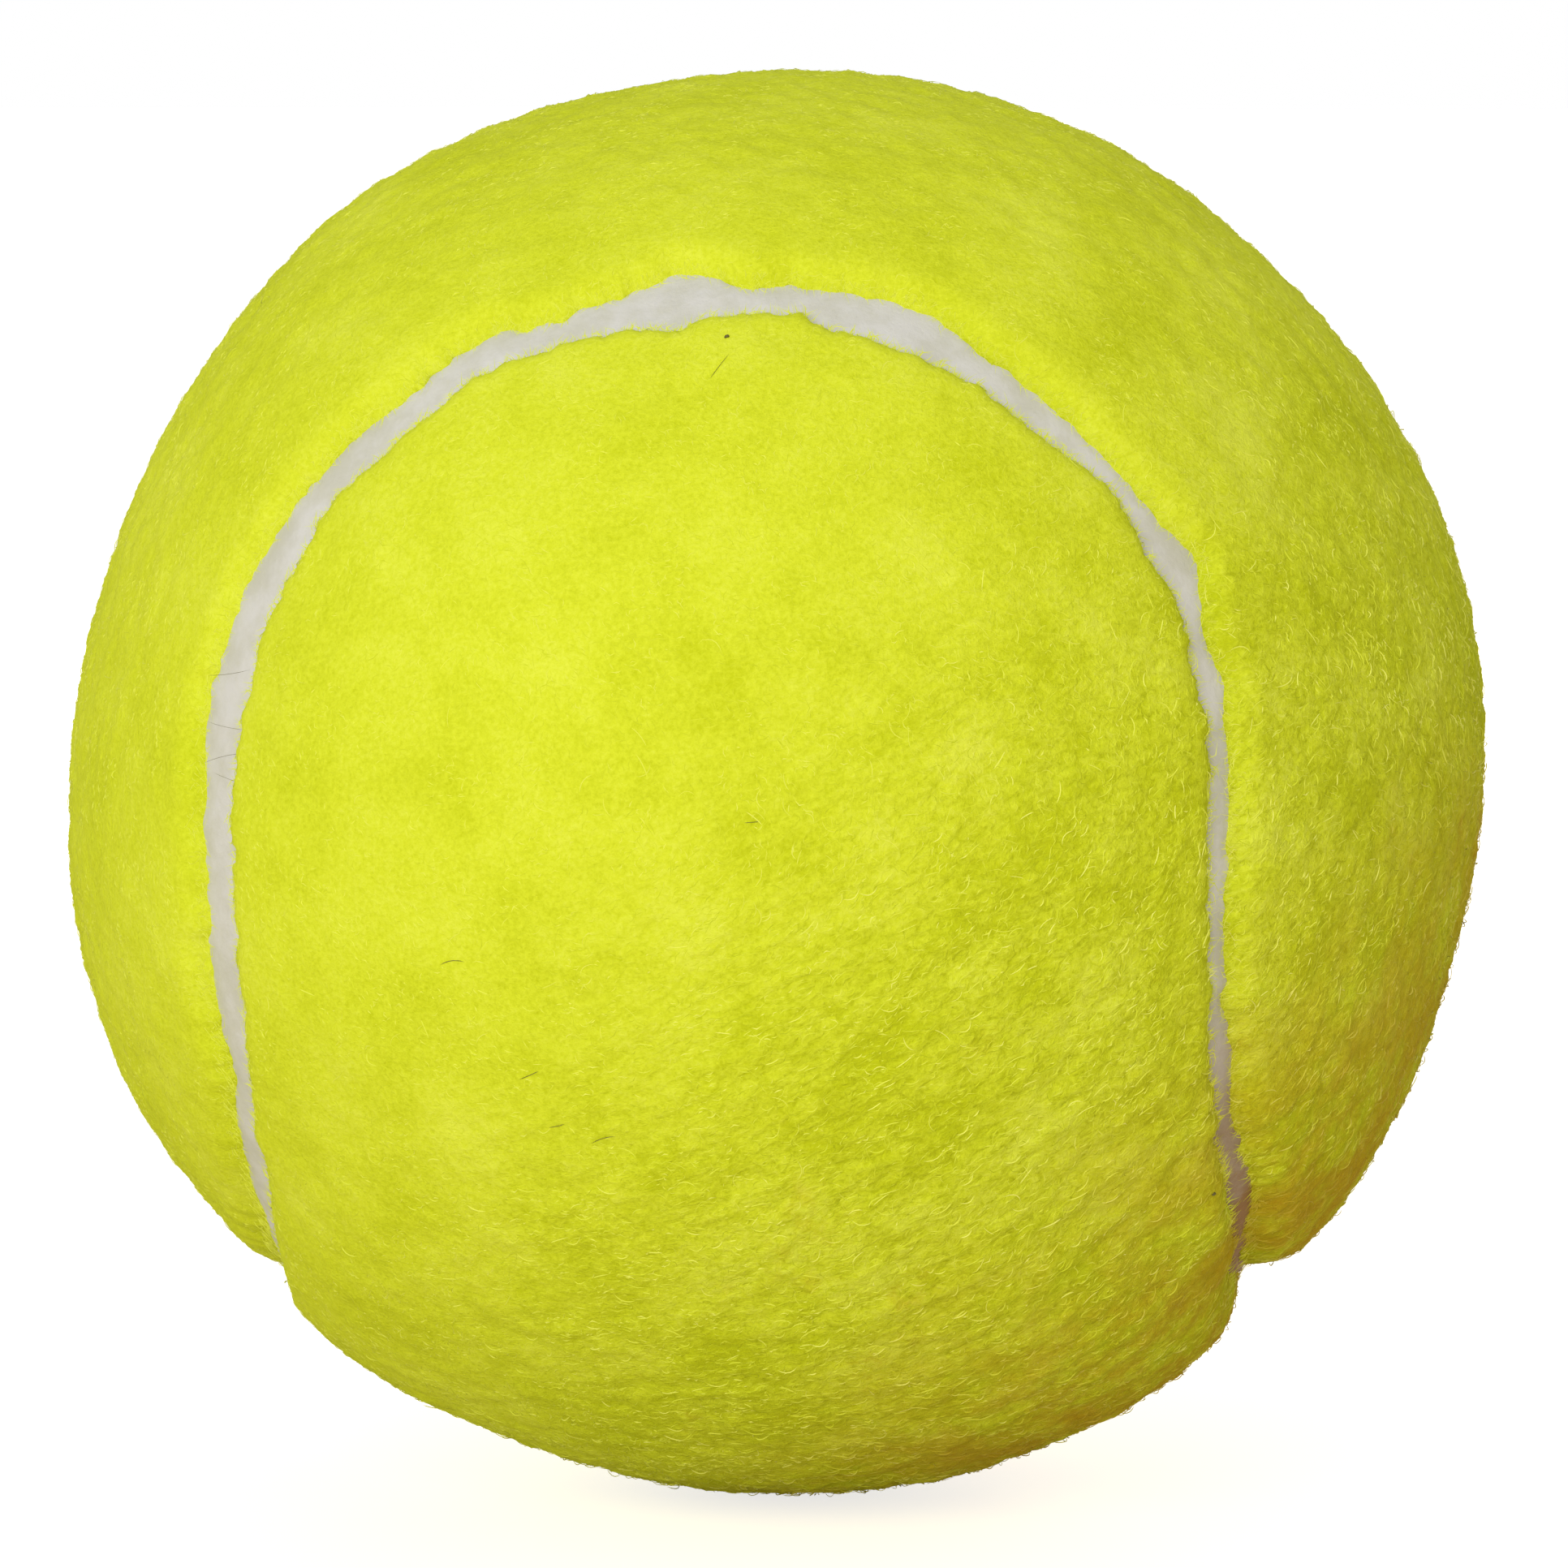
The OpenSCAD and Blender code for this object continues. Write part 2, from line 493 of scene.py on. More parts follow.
def shift_to_groove(points, reach):
    """Moves points sideways, so that the even groove that they were made for becomes the one
    that wanders. reach is how far from the groove's edge the shift dies out. Points at the nap's
    foot and below it stay."""
    place, distance, across = along_groove(points)
    stray, half = wander(place)
    side = np.sign(distance)
    ragged = ragged_edge(place, side)
    fade = np.exp(-((np.maximum(np.abs(distance) - SEAM_HALF_WIDTH, 0) / reach) ** 2))
    fade *= np.clip((np.linalg.norm(points, axis=1) - NAP_FOOT) / (0.5 * MM), 0, 1)
    shift = (stray + side * (half - SEAM_HALF_WIDTH + ragged)) * fade
    inside = np.abs(distance) < SEAM_HALF_WIDTH
    if inside.any():
        share = np.abs(distance[inside]) / SEAM_HALF_WIDTH
        shift[inside] = fade[inside] * (
            stray[inside]
            + side[inside] * share * (half[inside] - SEAM_HALF_WIDTH + ragged[inside])
        )
    length = np.linalg.norm(points, axis=1, keepdims=True)
    moved = points + across * shift[:, None]
    return moved / np.linalg.norm(moved, axis=1, keepdims=True) * length


def points_of(bm):
    return np.array([v.co for v in bm.verts])


def set_points(bm, points):
    for vert, point in zip(bm.verts, points):
        vert.co = point


def place_piece(name, mesh, material):
    """Makes the object of a new piece, at the origin, and lets it ride on the ball."""
    mesh.materials.append(material)
    mesh.polygons.foreach_set("use_smooth", [True] * len(mesh.polygons))
    piece = bpy.data.objects.new(name, mesh)
    bpy.context.scene.collection.objects.link(piece)
    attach(piece, "root")
    return piece


def finish_piece(name, bm, material):
    mesh = bpy.data.meshes.new(name)
    bm.to_mesh(mesh)
    bm.free()
    return place_piece(name, mesh, material)


def in_fixed_order(bm):
    """The same mesh, made again with its faces in an order that doesn't vary from run to run."""
    bm.verts.index_update()
    faces = sorted([v.index for v in face.verts] for face in bm.faces)
    made = bmesh.new()
    verts = [made.verts.new(v.co) for v in bm.verts]
    for face in faces:
        made.faces.new([verts[k] for k in face])
    bm.free()
    return made


def runs_along(edge):
    """Whether an edge of the seam follows the groove, and doesn't cross it or go down its side."""
    ends = np.array([v.co for v in edge.verts])
    _, distance, _ = along_groove(ends)
    drop = np.linalg.norm(ends, axis=1)
    return abs(distance[0] - distance[1]) < 1e-5 and abs(drop[0] - drop[1]) < 1e-5


def build_seam():
    """Turns one section of the seam along the four arcs, then lets its line wander."""
    steps, cuts, across_steps = 65, 3, 10
    long_edge = 0.95 * MM
    bm = bmesh.new()
    crest = [k / across_steps * 2 - 1 for k in range(across_steps + 1)]
    half_crest = SEAM_HALF_WIDTH + SEAM_TUCK
    outline = [(x * half_crest, SEAM_CREST - SEAM_CROWN * x * x) for x in crest]
    outline += [(SEAM_HALF_WIDTH, NAP_FOOT), (SEAM_HALF_WIDTH, SEAM_FOOT)]
    outline += [(-SEAM_HALF_WIDTH, SEAM_FOOT), (-SEAM_HALF_WIDTH, NAP_FOOT)]
    for i in range(4):
        axis, middle, _ = lobe_axes(i)
        start = Matrix.Rotation(-ARC_HALF_SPAN, 3, axis) @ middle
        section = []
        for aside, radius in outline:
            tilt = LOBE_CIRCLE + aside / ball_radius
            direction = axis * math.cos(tilt) + start * math.sin(tilt)
            section.append(bm.verts.new(direction * radius))
        edges = [
            bm.edges.new((section[k], section[(k + 1) % len(section)]))
            for k in range(len(section))
        ]
        bmesh.ops.spin(
            bm,
            geom=edges,
            cent=(0, 0, 0),
            axis=axis,
            angle=2 * ARC_HALF_SPAN,
            steps=steps,
            use_duplicate=False,
        )
    bmesh.ops.remove_doubles(bm, verts=bm.verts, dist=2e-6)
    bmesh.ops.recalc_face_normals(bm, faces=bm.faces)
    # spin leaves its faces in an order of its own each time.
    bm = in_fixed_order(bm)
    lengthwise = [e for e in bm.edges if e.calc_length() > long_edge and runs_along(e)]
    bmesh.ops.subdivide_edges(bm, edges=lengthwise, cuts=cuts, use_grid_fill=True)
    points = shift_to_groove(points_of(bm), 1.0)
    # Only the top of the line, which shows, swells and sinks.
    top = np.linalg.norm(points, axis=1) > ball_radius - 2 * MM
    away = points / np.linalg.norm(points, axis=1, keepdims=True)
    swell = SEAM_SWELL * rough(points, 260, seed=9) + SEAM_GRAIN * rough(points, 900, seed=12)
    swell += np.minimum(uneven_rise(points), 0)
    points += away * (swell * top)[:, None]
    set_points(bm, points)
    return bm


def add_nearness(tree, where, direction):
    """How near a point of the ball is to this side of it: 1 at its middle and -1 opposite."""
    return add_node(
        tree,
        "ShaderNodeVectorMath",
        {0: where, 1: tuple(direction / ball_radius)},
        operation="DOT_PRODUCT",
    ).outputs["Value"]


def build_dust_shade_and_bounce():
    """Tints a colour by dust, painted shade and warm reflection at the low right, and by dust in
    spots.
    """
    group, given, result = new_group(
        "court dust with painted shade and warm reflection",
        {
            "Colour": (0.5, 0.5, 0.5, 1),
            "Dust Shade And Bounce Colour": (0.5, 0.5, 0.5, 1),
            "Patchy": 0.8,
            "Even": 0.0,
            "Spots": 0.5,
        },
        {"Colour": "NodeSocketColor"},
    )
    where = add_object_place(group)
    toward = add_nearness(group, where, DUST_SHADE_AND_BOUNCE_PLACE)
    patches = add_noise(group, where, 170, detail=8, roughness=0.72)
    patchy, even, spots = (given.outputs[name] for name in ("Patchy", "Even", "Spots"))
    # At the low right the tint is painted shade and painted warm reflection, with dust in patches.
    side_dust_shade_and_bounce = add_math(group, "MULTIPLY_ADD", add_share(group, patches, 0.31, 0.60), patchy, even)
    side_dust_shade_and_bounce = add_math(group, "MULTIPLY", add_share(group, toward, 0.45, 1.0), side_dust_shade_and_bounce)
    spot_dust = add_math(
        group,
        "MULTIPLY",
        add_share(group, toward, -0.1, 0.7),
        add_share(group, patches, 0.58, 0.74),
    )
    share = add_math(group, "MULTIPLY_ADD", spot_dust, spots, side_dust_shade_and_bounce, use_clamp=True)
    tinted = add_blend(group, share, given.outputs["Colour"], given.outputs["Dust Shade And Bounce Colour"])
    group.links.new(tinted, result.inputs["Colour"])
    return group


dust_shade_and_bounce = build_dust_shade_and_bounce()


def tint_with_dust_shade_and_bounce(tree, colour, shader, tint, patchy, even, spots):
    """Feeds a colour to a shader through the court dust, painted shade and warm reflection."""
    dusted_and_shaded = add_node(
        tree,
        "ShaderNodeGroup",
        {"Colour": colour, "Dust Shade And Bounce Colour": tint, "Patchy": patchy, "Even": even, "Spots": spots},
        node_tree=dust_shade_and_bounce,
    )
    tree.links.new(dusted_and_shaded.outputs["Colour"], shader.inputs["Base Color"])


seam_rubber = moulded_material(
    "seam rubber",
    SEAM_GREY,
    SEAM_GREY_PATCH,
    patches=420,
    pits=3200,
    roughness=0.62,
    height=RUBBER_GRAIN,
)
seam_shader = seam_rubber.node_tree.nodes["Principled BSDF"]
# Towards the low right the grey is painted dark brown: painted shade and warm reflection, with dust.
tint_with_dust_shade_and_bounce(
    seam_rubber.node_tree,
    seam_shader.inputs["Base Color"].links[0].from_socket,
    seam_shader,
    SEAM_DUST_SHADE_AND_BOUNCE,
    patchy=0.6,
    even=1.1,
    spots=0.3,
)
seam = finish_piece("seam_line", build_seam(), seam_rubber)
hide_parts("seam")


# Felt panels

# Each panel's nap is wool and nylon needled into the backing, raised and then fulled. It was cut
# flat as a figure of eight, stretched over the core, and its soft edges roll down to the seam.

# The edge drops within its roll, which a wide soft shoulder leads up to.
EDGE_DROP = 1.08 * MM
EDGE_ROLL = 1.3 * MM
SHOULDER_DROP = 0.27 * MM
SHOULDER_REACH = 2.4 * MM
FELT_SINK = 0.25 * MM
SWELL_HEIGHT = 0.18 * MM
LUMP_HEIGHT = 0.09 * MM
TUFT_HEIGHT = 0.04 * MM
SIDE_TUFT_HEIGHT = 0.11 * MM
WORN_HEIGHT = 0.09 * MM
RIDGE_HEIGHT = 0.11 * MM
GRAIN_DEPTH = 0.08 * MM
# Round one place the nap is combed up to the right, by 30 degrees. Round another it is worn.
COMB_ANGLE = math.radians(30)
COMBED = np.array((0.87, 0.0, 0.5))
COMBED_PLACE = np.array((0.36, -0.71, -0.60))
WORN_PLACE = np.array((0.75, -0.35, -0.55))
FELT_LIGHT = (0.74, 0.81, 0.065, 1)
FELT_MID = (0.67, 0.745, 0.030, 1)
FELT_DEEP = (0.55, 0.62, 0.012, 1)
# Painted shade in the gaps between the combed strands.
FELT_GAP_SHADE = (0.30, 0.31, 0.008, 1)
# Low right tint of the felt: dust, painted shade and painted warm reflection.
FELT_DUST_SHADE_AND_BOUNCE = (0.50, 0.31, 0.014, 1)


def combed_share(points):
    """From 0 to 1, how far the nap is combed into ridges: most at the low front, on the right."""
    return smooth_share(points @ COMBED_PLACE / ball_radius, 0.55, 0.95)


def worn_share(points):
    """From 0 to 1, how far play has roughened the nap: most at the right and below."""
    return smooth_share(points @ WORN_PLACE / ball_radius, -0.3, 0.9)


def edge_distance(points):
    """How far points of the cover are from the panel's cut edge and from the seam's middle, and
    the way to the top panel."""
    place, distance, across = along_groove(points)
    stray, half = wander(place)
    from_middle = distance - stray
    from_edge = np.abs(from_middle) - half - ragged_edge(place, np.sign(from_middle))
    return from_edge, from_middle, across


def felt_rise(points):
    """How far the nap stands above or below the ball's even surface at each point."""
    x, y, z = points.T / ball_radius
    # Towards the outline, as seen from the front, the edge rolls wider and the nap is rougher.
    aside = (x * x + z * z) ** 2
    from_edge = np.maximum(edge_distance(points)[0], 0)
    roll = np.clip(1 - from_edge / (EDGE_ROLL * (1 + 1.2 * aside)), 0, 1)
    rise = -EDGE_DROP * roll ** (4 - 1.6 * aside)
    rise -= SHOULDER_DROP * np.exp(-from_edge / SHOULDER_REACH)
    rise += uneven_rise(points)
    free = 1 - roll * roll
    rise += free * (
        SWELL_HEIGHT * rough(points, 70, seed=1)
        + LUMP_HEIGHT * rough(points, 240, seed=2)
        + (TUFT_HEIGHT + SIDE_TUFT_HEIGHT * aside) * rough(points, 800, seed=3, octaves=2)
        + WORN_HEIGHT * worn_share(points) ** 2 * rough(points, 950, seed=17, octaves=2)
    )
    ridged = points - 0.86 * (points @ COMBED)[:, None] * COMBED
    rise += free * combed_share(points) * RIDGE_HEIGHT * rough(ridged, 950, seed=8, octaves=2)
    return rise - FELT_SINK


def cut_ball(size, level):
    """A fine ball of this radius, with its faces cut along both edges of the groove."""
    bm = bmesh.new()
    bmesh.ops.create_icosphere(bm, subdivisions=level, radius=size)
    for i in range(4):
        axis, middle, ahead = (np.array(v) for v in lobe_axes(i))
        centres = np.array([f.calc_center_median() for f in bm.faces]) / size
        turn = np.abs(np.arctan2(centres @ ahead, centres @ middle))
        tilt = np.arccos(np.clip(centres @ axis, -1, 1))
        # Only faces near this lobe's arc are cut.
        near = (turn < ARC_HALF_SPAN + 0.05) & (np.abs(tilt - LOBE_CIRCLE) < 0.08)
        bm.faces.ensure_lookup_table()
        faces = [bm.faces[k] for k in np.nonzero(near)[0]]
        for edge in (-1, 1):
            tilt = LOBE_CIRCLE + edge * SEAM_HALF_WIDTH / ball_radius
            geom = {g for f in faces for g in (*f.verts, *f.edges)}
            made = bmesh.ops.bisect_plane(
                bm,
                geom=list(geom) + faces,
                dist=4e-6,
                plane_co=Vector(axis) * math.cos(tilt) * size,
                plane_no=Vector(axis),
            )
            faces = [g for g in made["geom"] if isinstance(g, bmesh.types.BMFace)]
    return bm


def panel_skin(ball, top):
    """One panel's share of a cut ball."""
    bm = ball.copy()
    centres = np.array([f.calc_center_median() for f in bm.faces])
    _, distance, _ = along_groove(centres)
    keep = distance > SEAM_HALF_WIDTH if top else distance < -SEAM_HALF_WIDTH
    bm.faces.ensure_lookup_table()
    drop = [bm.faces[k] for k in np.nonzero(~keep)[0]]
    bmesh.ops.delete(bm, geom=drop, context="FACES")
    return bm


outer_ball = cut_ball(ball_radius, 8)
inner_ball = cut_ball(NAP_FOOT, 6)


def build_panel(top):
    """The outer face of the nap, its inner face on the cloth, and the edge that joins them."""
    bm = panel_skin(outer_ball, top)
    points = shift_to_groove(points_of(bm), 3 * MM)
    away = points / np.linalg.norm(points, axis=1, keepdims=True)
    set_points(bm, away * (ball_radius + felt_rise(points))[:, None])
    inner = panel_skin(inner_ball, top)
    bmesh.ops.reverse_faces(inner, faces=inner.faces)
    spare = bpy.data.meshes.new("inner face")
    inner.to_mesh(spare)
    inner.free()
    bm.from_mesh(spare)
    bpy.data.meshes.remove(spare)
    rim = [e for e in bm.edges if e.is_boundary]
    bmesh.ops.bridge_loops(bm, edges=rim)
    bmesh.ops.triangulate(bm, faces=[f for f in bm.faces if len(f.verts) > 3])
    return bm


def build_felt_material():
    made, tree, shader = blank_material(
        "felt nap",
        Roughness=0.95,
        Specular_IOR_Level=0.03,
        Sheen_Weight=0.10,
        Sheen_Roughness=0.5,
        Sheen_Tint=(1, 1, 0.15, 1),
    )
    where = add_object_place(tree)
    clouds = add_noise(tree, where, 160, detail=6, roughness=0.7)
    flecks = add_noise(tree, where, 4200, detail=3, roughness=0.7)
    # Where the nap is combed and worn, its fibres lie in strands that run up to the right.
    along_comb = add_node(
        tree,
        "ShaderNodeMapping",
        {"Vector": where, "Rotation": (0, -COMB_ANGLE, 0), "Scale": (2.0, 1, 1)},
        vector_type="TEXTURE",
    ).outputs["Vector"]
    strands = add_noise(tree, along_comb, 2400, detail=5, roughness=0.75, distortion=0.8)
    worn = add_share(tree, add_nearness(tree, where, WORN_PLACE), -0.1, 0.85)
    # The dark gaps between the strands of the worn side are painted shade.
    gap_shade = add_share(tree, strands, 0.46, 0.36, top=0.30, fade="LINEAR")
    most_worn = add_share(tree, worn, 0.6, 1.0, fade="LINEAR")
    gap_shade = add_math(tree, "MULTIPLY", gap_shade, most_worn)
    strands = add_math(tree, "MULTIPLY", strands, worn)
    cloudiness = add_math(tree, "ADD", worn, 1.15)
    tone = add_math(tree, "MULTIPLY_ADD", clouds, cloudiness, flecks)
    # This lowers the tone a little more than the worn side's clouds and strands raise it: painted
    # shade.
    tone = add_math(tree, "MULTIPLY_ADD", worn, -1.24, tone)
    tone = add_math(tree, "MULTIPLY_ADD", strands, 1.3, tone)
    tone = add_share(tree, tone, 0.72, 1.42, fade="LINEAR")
    colour = add_ramp(tree, tone, (0.0, FELT_DEEP), (0.5, FELT_MID), (0.95, FELT_LIGHT))
    colour = add_blend(tree, gap_shade, colour, FELT_GAP_SHADE)
    height = add_math(tree, "MULTIPLY_ADD", strands, 2.1, flecks)
    tree.links.new(add_bump(tree, height, GRAIN_DEPTH), shader.inputs["Normal"])
    # The low right is painted darker and warmer: painted shade and warm reflection, with dust.
    tint_with_dust_shade_and_bounce(tree, colour, shader, FELT_DUST_SHADE_AND_BOUNCE, patchy=0.95, even=0.0, spots=0.45)
    return made


felt_nap = build_felt_material()
panels = {}
for which in ("top", "bottom"):
    panels[which] = finish_piece(
        f"{which}_panel_felt", build_panel(which == "top"), felt_nap
    )
    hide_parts(f"{which}_panel_nap")


# Raised fibres

# Loose ends of wool and nylon stand out of the nap or lie matted on it. Most are short and lie
# nearly flat, and a few are long and curled.

ROOT_SINK = 0.015 * MM
END_LIFT = 1.3
MID_TONE = 0.55
LEAST_CONTRAST = 0.15
CELL_MARGIN = 0.15
COMB_POLE = (0.35, 0.25, -0.9)
COMB_PATCHES_PER_METRE = 90
COMBED_HAIRS = 0.75
MATTED_DEEP = (0.38, 0.44, 0.008, 1)
MATTED_MID = (0.67, 0.745, 0.028, 1)
MATTED_PALE = (0.82, 0.87, 0.10, 1)
BRIGHT_DEEP = (0.64, 0.72, 0.025, 1)
BRIGHT_MID = (0.77, 0.83, 0.08, 1)
BRIGHT_PALE = (0.90, 0.93, 0.19, 1)


def fibre_shape(rings):
    """A three sided hair of unit length and width along Z, pointed at both ends."""
    bm = bmesh.new()
    bmesh.ops.create_circle(bm, segments=3, radius=0.5)
    edges = list(bm.edges)
    heights = [(k + 1) / (rings + 1) for k in range(rings)]
    bmesh.ops.translate(bm, verts=bm.verts, vec=(0, 0, heights[0]))

    def point_at(edges, height):
        made = bmesh.ops.extrude_edge_only(bm, edges=edges)["geom"]
        verts = [g for g in made if isinstance(g, bmesh.types.BMVert)]
        bmesh.ops.pointmerge(bm, verts=verts, merge_co=(0, 0, height))

    first = edges
    for low, high in zip(heights, heights[1:]):
        made = bmesh.ops.extrude_edge_only(bm, edges=edges)["geom"]
        verts = [g for g in made if isinstance(g, bmesh.types.BMVert)]
        bmesh.ops.translate(bm, verts=verts, vec=(0, 0, high - low))
        edges = [
            g for g in made if isinstance(g, bmesh.types.BMEdge) and all(v in verts for v in g.verts)
        ]
    point_at(edges, 1)
    point_at(first, 0)
    bmesh.ops.recalc_face_normals(bm, faces=bm.faces)
    bm.verts.index_update()
    shape = points_of(bm)
    faces = np.array([[v.index for v in f.verts] for f in bm.faces if len(f.verts) == 3])
    quads = [[v.index for v in f.verts] for f in bm.faces if len(f.verts) == 4]
    for a, b, c, d in quads:
        faces = np.vstack([faces, [[a, b, c], [a, c, d]]])
    bm.free()
    return shape, faces


def roots_on(panel, count, rng):
    """Points spread evenly over a panel's outer face, with the direction away from it."""
    mesh = panel.data
    mesh.calc_loop_triangles()
    corners = np.empty(len(mesh.loop_triangles) * 3, np.int32)
    mesh.loop_triangles.foreach_get("vertices", corners)
    points = np.empty(len(mesh.vertices) * 3, np.float32)
    mesh.vertices.foreach_get("co", points)
    normals = np.empty(len(mesh.vertices) * 3, np.float32)
    mesh.vertices.foreach_get("normal", normals)
    points, normals = points.reshape(-1, 3).astype(float), normals.reshape(-1, 3).astype(float)
    corners = corners.reshape(-1, 3)
    tri = points[corners]
    outer = np.linalg.norm(tri.mean(1), axis=1) > NAP_FOOT + 0.5 * MM
    corners, tri = corners[outer], tri[outer]
    area = np.linalg.norm(np.cross(tri[:, 1] - tri[:, 0], tri[:, 2] - tri[:, 0]), axis=1)
    chosen = rng.choice(len(tri), count, p=area / area.sum())
    shares = rng.dirichlet((1, 1, 1), count)
    roots = np.einsum("nk,nkd->nd", shares, tri[chosen])
    up = np.einsum("nk,nkd->nd", shares, normals[corners[chosen]])
    return roots, up / np.linalg.norm(up, axis=1, keepdims=True)


def unit(v):
    return v / np.maximum(np.linalg.norm(v, axis=1, keepdims=True), 1e-12)


def lay_fibres(
    name, roots, up, ahead, rng, rings, length, width, lift, curl, material, behind=0.5
):
    """Copies one hair to every root. Lengths, widths, lifts and curls are ranges, and behind is
    the share of a hair that lies behind its root."""
    count = len(roots)
    shape, faces = fibre_shape(rings)
    side = np.cross(up, ahead)
    size = rng.uniform(*length, count)[:, None, None]
    thick = rng.uniform(*width, count)[:, None, None]
    rise = rng.uniform(*lift, count)[:, None, None]
    bend = (rng.uniform(*curl, count) * rng.choice((-1, 1), count))[:, None, None]
    end_rise = (rng.random(count) ** 2)[:, None, None]
    h = shape[:, 2][None, :, None]
    arch = 4 * h * (1 - h)
    centre = (
        roots[:, None]
        + ahead[:, None] * size * (h - behind)
        + up[:, None] * (rise * (arch * (1 - end_rise) + end_rise * h * END_LIFT) - ROOT_SINK)
        + side[:, None] * bend * size * arch
    )
    own = side[:, None] * shape[:, 0][None, :, None] + up[:, None] * shape[:, 1][None, :, None]
    points = (centre + thick * own).reshape(-1, 3)
    per_hair = len(shape)
    indices = (faces.reshape(-1)[None] + (np.arange(count) * per_hair)[:, None]).reshape(-1)
    mesh = bpy.data.meshes.new(name)
    mesh.vertices.add(len(points))
    mesh.vertices.foreach_set("co", points.astype(np.float32).reshape(-1))
    mesh.loops.add(len(indices))
    mesh.loops.foreach_set("vertex_index", indices.astype(np.int32))
    mesh.polygons.add(len(indices) // 3)
    mesh.polygons.foreach_set("loop_start", np.arange(0, len(indices), 3, dtype=np.int32))
    mesh.update(calc_edges=True)
    mesh.validate()
    # Hairs differ most in tone where the nap is worn.
    contrast = LEAST_CONTRAST + (1 - LEAST_CONTRAST) * worn_share(roots) ** 2
    tones = MID_TONE + (rng.random(count) - MID_TONE) * contrast
    tone = mesh.attributes.new("tone", "FLOAT", "POINT")
    tone.data.foreach_set("value", np.repeat(tones, per_hair).astype(np.float32))
    # Each hair has a small cell of the map that its colour is baked to.
    cells = math.ceil(math.sqrt(count))
    cell = np.stack([np.arange(count) % cells, np.arange(count) // cells], 1)
    span = 1 - 2 * CELL_MARGIN
    inset = np.stack([CELL_MARGIN + span * shape[:, 2], 0.5 + span * shape[:, 0]], 1)
    place = (cell[:, None] + inset[None]) / cells
    layer = mesh.uv_layers.new(name="OFBake")
    layer.uv.foreach_set(
        "vector", place.reshape(-1, 2)[indices].astype(np.float32).reshape(-1)
    )
    piece = place_piece(name, mesh, material)
    # A hair is fine enough to let light through, so it is shaded much as the nap under it.
    mesh.normals_split_custom_set_from_vertices(
        unit((up[:, None] * 0.5 + own).reshape(-1, 3)).astype(np.float32)
    )
    piece.visible_shadow = False
    piece.visible_diffuse = False
    return piece


def comb_way(roots, up, rng, spread):
    """The way each hair lies: the way of its patch, or along the ridges, and a little astray."""
    comb = unit(np.cross(up, COMB_POLE))
    aside = np.cross(up, comb)
    x, y, z = (roots * COMB_PATCHES_PER_METRE).T
    turn = 1.5 * np.sin(x * 1.1 + z * 1.7) + 1.1 * np.sin(y * 1.9 - z * 0.8 + 1)
    turn = turn + rng.normal(0, spread, len(roots))
    patchy = comb * np.cos(turn)[:, None] + aside * np.sin(turn)[:, None]
    ridge = unit(COMBED - (up @ COMBED)[:, None] * up)
    ridge += rng.normal(0, 0.35, (len(roots), 1)) * np.cross(up, ridge)
    share = combed_share(roots)[:, None] * (rng.random((len(roots), 1)) < COMBED_HAIRS)
    way = patchy * (1 - share) + ridge * share
    return unit(way - np.einsum("nk,nk->n", way, up)[:, None] * up)


def grow_fibres(name, panel, count, seed, spread=0.75, even=1.0, tufted=False, **sizes):
    """Hairs all over a panel. even is how many grow where the nap is least worn, and tufted ones
    stand in small tufts."""
    rng = np.random.default_rng(seed)
    roots, up = roots_on(panel, count, rng)
    kept = rng.random(count) < even + (1 - even) * worn_share(roots) ** 2
    if tufted:
        kept &= rough(roots, 420, seed=15) > rng.normal(0.05, 0.15, count)
    roots, up = roots[kept], up[kept]
    return lay_fibres(name, roots, up, comb_way(roots, up, rng, spread), rng, **sizes)


def edge_fibres(name, panel, count, seed, **sizes):
    """Hairs that reach level from a panel's cut edge out over the seam."""
    rng = np.random.default_rng(seed)
    # Most places on the panel are too far from the edge, so many more are tried.
    roots, _ = roots_on(panel, count * 22, rng)
    from_edge, from_middle, across = edge_distance(roots)
    nearest, farthest = 0.08 * MM, rng.uniform(0.1 * MM, 0.6 * MM, len(roots))
    close = (from_edge > nearest) & (from_edge < farthest)
    roots = roots[close][:count]
    across = (across * -np.sign(from_middle)[:, None])[close][:count]
    up = unit(roots)
    turn = rng.normal(0, 0.6, len(roots))[:, None]
    way = unit(across * np.cos(turn) + np.cross(up, across) * np.sin(turn))
    return lay_fibres(name, roots, up, way, rng, behind=0.35, **sizes)


def build_fibre_material(name, deep, mid, pale):
    """A fibre's colour runs from deep to pale by its tone, which every hair has of its own."""
    made, tree, shader = blank_material(
        name,
        Roughness=0.7,
        Specular_IOR_Level=0.08,
        Sheen_Weight=0.1,
        Sheen_Tint=(1, 1, 0.35, 1),
    )
    tone = add_node(tree, "ShaderNodeAttribute", attribute_name="tone").outputs["Fac"]
    colour = add_ramp(tree, tone, (0.0, deep), (0.6, mid), (1.0, pale))
    # The low right is painted darker and warmer: painted shade and warm reflection, with dust.
    tint_with_dust_shade_and_bounce(tree, colour, shader, FELT_DUST_SHADE_AND_BOUNCE, patchy=0.95, even=0.0, spots=0.45)
    return made


